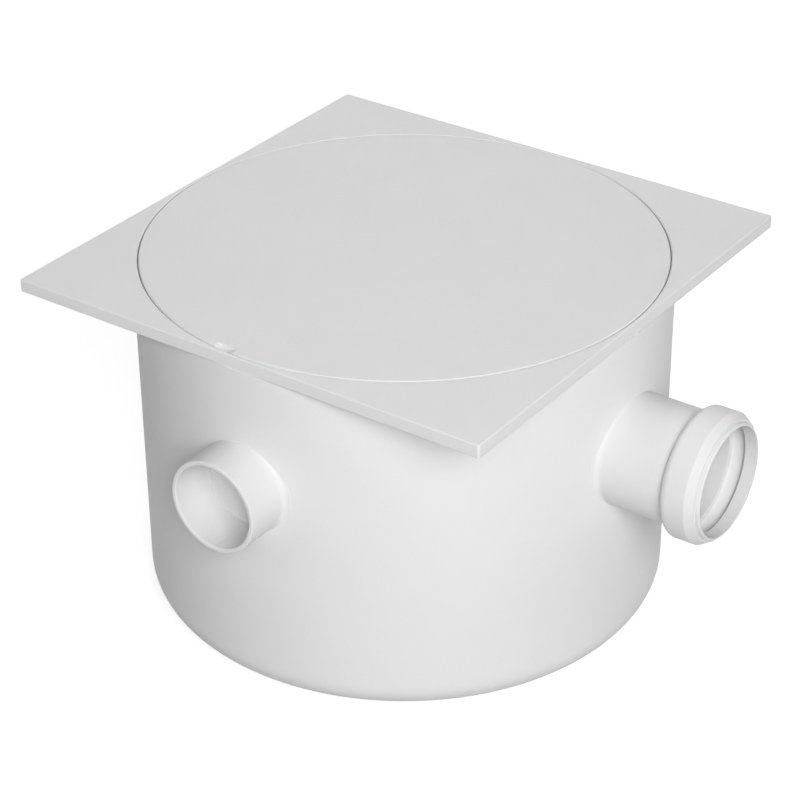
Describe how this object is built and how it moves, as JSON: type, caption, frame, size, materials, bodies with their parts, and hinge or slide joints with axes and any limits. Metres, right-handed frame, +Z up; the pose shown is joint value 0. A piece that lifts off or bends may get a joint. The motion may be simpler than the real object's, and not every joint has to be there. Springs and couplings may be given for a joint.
{
  "type": "gully trap",
  "caption": "Round floor gully trap with a square frame, a flush round lid, closed side inlets, a ring-seal outlet and a removable water-seal siphon inside.",
  "frame": {"origin": "on the bowl's axis, at the underside of its base", "axes": "+Z up along the bowl's axis, +X outwards along the outlet, -Y outwards along the inlet that the picture shows"},
  "size_m": [0.3193, 0.2904, 0.1732],
  "materials": {
    "bowl_pvc": "satin white moulded PVC",
    "frame_pvc": "satin white moulded PVC",
    "lid_pvc": "finely grained white moulded PVC",
    "siphon_pvc": "satin white moulded PVC",
    "plug_pvc": "satin white moulded PVC",
    "seal_rubber": "black nitrile rubber"
  },
  "bodies": {
    "root": {"body": "bowl_pvc", "frame": "frame_pvc", "lid": "lid_pvc", "siphon_elbow": "siphon_pvc", "siphon_seal": "seal_rubber", "cleanout_plug": "plug_pvc", "plug_seal": "seal_rubber"}
  },
  "joints": []
}
